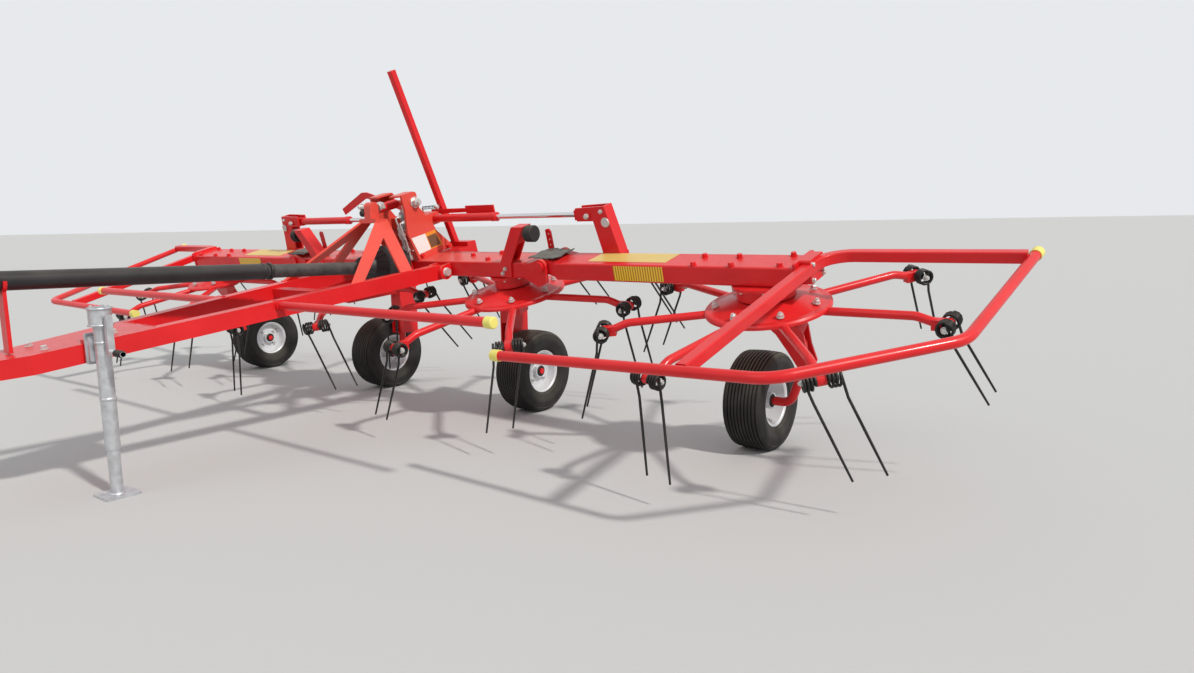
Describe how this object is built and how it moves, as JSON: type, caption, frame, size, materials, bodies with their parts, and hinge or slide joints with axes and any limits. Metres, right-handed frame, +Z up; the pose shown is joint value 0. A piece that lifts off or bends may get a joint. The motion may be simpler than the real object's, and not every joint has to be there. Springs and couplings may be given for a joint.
{
  "type": "hay tedder",
  "caption": "Trailed hay tedder with tined rotors on folding wings, sloping drawbar with jack, drive shaft, guard tubes and pneumatic wheels.",
  "frame": {"origin": "on the ground at the middle of the machine's length and width", "axes": "+X to the machine's left along the wings, -Y towards the hitch and the tractor, +Z up"},
  "size_m": [5.6952, 3.031, 1.6766],
  "materials": {
    "red_paint": "bright red gloss paint",
    "cap_yellow": "yellow plastic",
    "buffer_rubber": "black rubber",
    "guard_black": "black plastic",
    "tyre_rubber": "black rubber",
    "rim_silver": "silver paint",
    "galvanised_steel": "galvanised",
    "zinc_steel": "zinc plated",
    "bare_steel": "machined",
    "chrome_rod": "hard chrome",
    "spring_steel": "black spring steel"
  },
  "bodies": {
    "frame": {"cylinder_barrel_left": "red_paint", "cylinder_rod_right": "chrome_rod", "drawbar": "red_paint", "drawbar_pins": "zinc_steel", "fold_pins": "red_paint", "gear_hubs_inner": "red_paint", "gearbox": "red_paint", "guard_caps_inner": "cap_yellow", "guards_inner": "red_paint", "headstock": "red_paint", "hinge_posts": "red_paint", "hitch_eye": "red_paint", "jack_mount": "galvanised_steel", "lock_hooks": "red_paint", "main_beam": "red_paint", "mast": "red_paint", "shaft_bell": "guard_black", "shaft_rest": "red_paint", "shaft_tube_front": "guard_black", "shaft_tube_rear": "guard_black", "shaft_yoke": "bare_steel", "stop_arms": "red_paint", "stop_buffers": "buffer_rubber", "top_link": "red_paint", "tower": "red_paint", "valve_block": "bare_steel", "wheel_legs_inner": "red_paint"},
    "jack": {"jack_tube": "galvanised_steel", "jack_crank": "galvanised_steel"},
    "jack_leg": {"jack_leg": "galvanised_steel"},
    "rod_left": {"cylinder_rod_left": "chrome_rod"},
    "barrel_right": {"cylinder_barrel_right": "red_paint"},
    "wing_left": {"wing_beam_left": "red_paint", "gear_hub_outer_left": "red_paint", "wheel_leg_outer_left": "red_paint", "guard_outer_left": "red_paint", "guard_caps_outer_left": "cap_yellow"},
    "rotor_inner_left": {"rotor_inner_left": "red_paint", "tines_inner_left": "spring_steel"},
    "wheel_inner_left": {"tyre_inner_left": "tyre_rubber", "rim_inner_left": "rim_silver"},
    "rotor_outer_left": {"rotor_outer_left": "red_paint", "tines_outer_left": "spring_steel"},
    "wheel_outer_left": {"tyre_outer_left": "tyre_rubber", "rim_outer_left": "rim_silver"},
    "wing_right": {"wing_beam_right": "red_paint", "gear_hub_outer_right": "red_paint", "wheel_leg_outer_right": "red_paint", "guard_outer_right": "red_paint", "guard_caps_outer_right": "cap_yellow"},
    "rotor_inner_right": {"rotor_inner_right": "red_paint", "tines_inner_right": "spring_steel"},
    "wheel_inner_right": {"tyre_inner_right": "tyre_rubber", "rim_inner_right": "rim_silver"},
    "rotor_outer_right": {"rotor_outer_right": "red_paint", "tines_outer_right": "spring_steel"},
    "wheel_outer_right": {"tyre_outer_right": "tyre_rubber", "rim_outer_right": "rim_silver"}
  },
  "joints": [
    {"name": "fold_left", "type": "hinge", "parent": "frame", "child": "wing_left", "pos_m": [0.93, 0.63119, 0.77455], "axis": [0, -0.9659, -0.2588], "range_deg": [-3, 90]},
    {"name": "cylinder_left", "type": "slide", "parent": "frame", "child": "rod_left", "axis": [1, 0, 0], "range_m": [-0.362, 0.013]},
    {"name": "fold_right", "type": "hinge", "parent": "frame", "child": "wing_right", "pos_m": [-0.93, 0.63119, 0.77455], "axis": [0, 0.9659, 0.2588], "range_deg": [-3, 90]},
    {"name": "cylinder_right", "type": "slide", "parent": "frame", "child": "barrel_right", "axis": [-1, 0, 0], "range_m": [-0.362, 0.013]},
    {"name": "rotor_inner_left_spin", "type": "hinge", "parent": "frame", "child": "rotor_inner_left", "pos_m": [0.65, 0.6726, 0.62], "axis": [0, -0.2588, 0.9659], "continuous": true},
    {"name": "wheel_inner_left_spin", "type": "hinge", "parent": "frame", "child": "wheel_inner_left", "pos_m": [0.575, 0.8776, 0.204], "axis": [1, 0, 0], "continuous": true},
    {"name": "rotor_inner_right_spin", "type": "hinge", "parent": "frame", "child": "rotor_inner_right", "pos_m": [-0.65, 0.6726, 0.62], "axis": [0, -0.2588, 0.9659], "continuous": true},
    {"name": "wheel_inner_right_spin", "type": "hinge", "parent": "frame", "child": "wheel_inner_right", "pos_m": [-0.575, 0.8776, 0.204], "axis": [1, 0, 0], "continuous": true},
    {"name": "rotor_outer_left_spin", "type": "hinge", "parent": "wing_left", "child": "rotor_outer_left", "pos_m": [1.95, 0.6726, 0.62], "axis": [0, -0.2588, 0.9659], "continuous": true},
    {"name": "wheel_outer_left_spin", "type": "hinge", "parent": "wing_left", "child": "wheel_outer_left", "pos_m": [1.839, 0.8626, 0.204], "axis": [1, 0, 0], "continuous": true},
    {"name": "rotor_outer_right_spin", "type": "hinge", "parent": "wing_right", "child": "rotor_outer_right", "pos_m": [-1.95, 0.6726, 0.62], "axis": [0, -0.2588, 0.9659], "continuous": true},
    {"name": "wheel_outer_right_spin", "type": "hinge", "parent": "wing_right", "child": "wheel_outer_right", "pos_m": [-1.839, 0.8626, 0.204], "axis": [1, 0, 0], "continuous": true},
    {"name": "jack_swing", "type": "hinge", "parent": "frame", "child": "jack", "pos_m": [0.21363, -0.9674, 0.53], "axis": [1, 0, 0], "range_deg": [0, 82]},
    {"name": "jack_extend", "type": "slide", "parent": "jack", "child": "jack_leg", "axis": [0, 0, -1], "range_m": [-0.15, 0.1]}
  ],
  "couplings": [
    {"joint": "cylinder_left", "follows": "fold_left", "m_per_rad": -0.22982},
    {"joint": "cylinder_right", "follows": "fold_right", "m_per_rad": -0.22982},
    {"joint": "rotor_outer_left_spin", "follows": "rotor_inner_left_spin", "ratio": -1},
    {"joint": "rotor_inner_right_spin", "follows": "rotor_inner_left_spin", "ratio": -1},
    {"joint": "rotor_outer_right_spin", "follows": "rotor_inner_left_spin", "ratio": 1}
  ]
}
